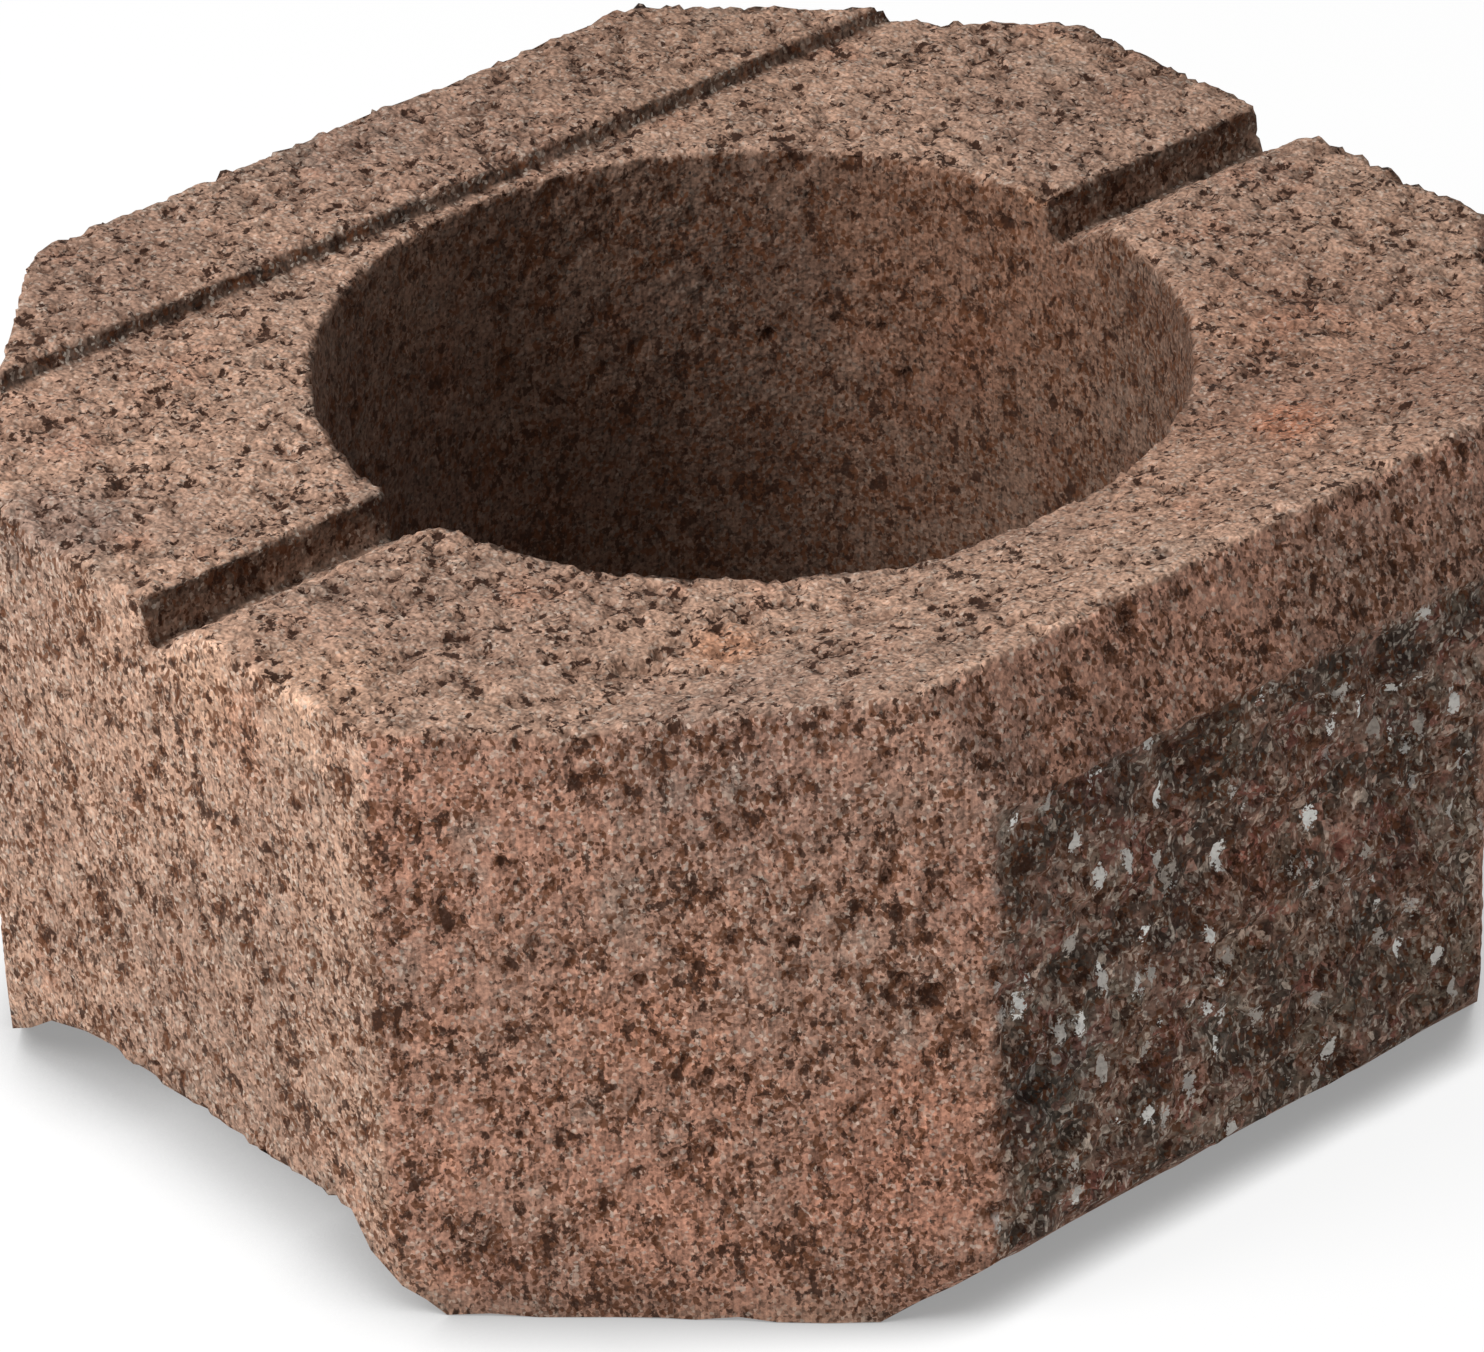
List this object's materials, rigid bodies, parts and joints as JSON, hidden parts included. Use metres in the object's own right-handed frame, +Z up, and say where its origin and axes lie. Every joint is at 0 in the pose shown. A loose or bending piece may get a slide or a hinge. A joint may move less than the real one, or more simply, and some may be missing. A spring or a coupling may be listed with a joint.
{
  "type": "concrete wall block",
  "caption": "Plantable retaining-wall block of cast concrete with cut corners, a large round planting hole, locking grooves across its top, feet below and a rough split front.",
  "frame": {"origin": "on the ground, under the middle of the block's width and depth", "axes": "+X along the wall, -Y towards the split front, +Z up"},
  "size_m": [0.45, 0.42, 0.2155],
  "materials": {
    "concrete": "rough"
  },
  "bodies": {
    "root": {"wall_block": "concrete"}
  },
  "joints": []
}
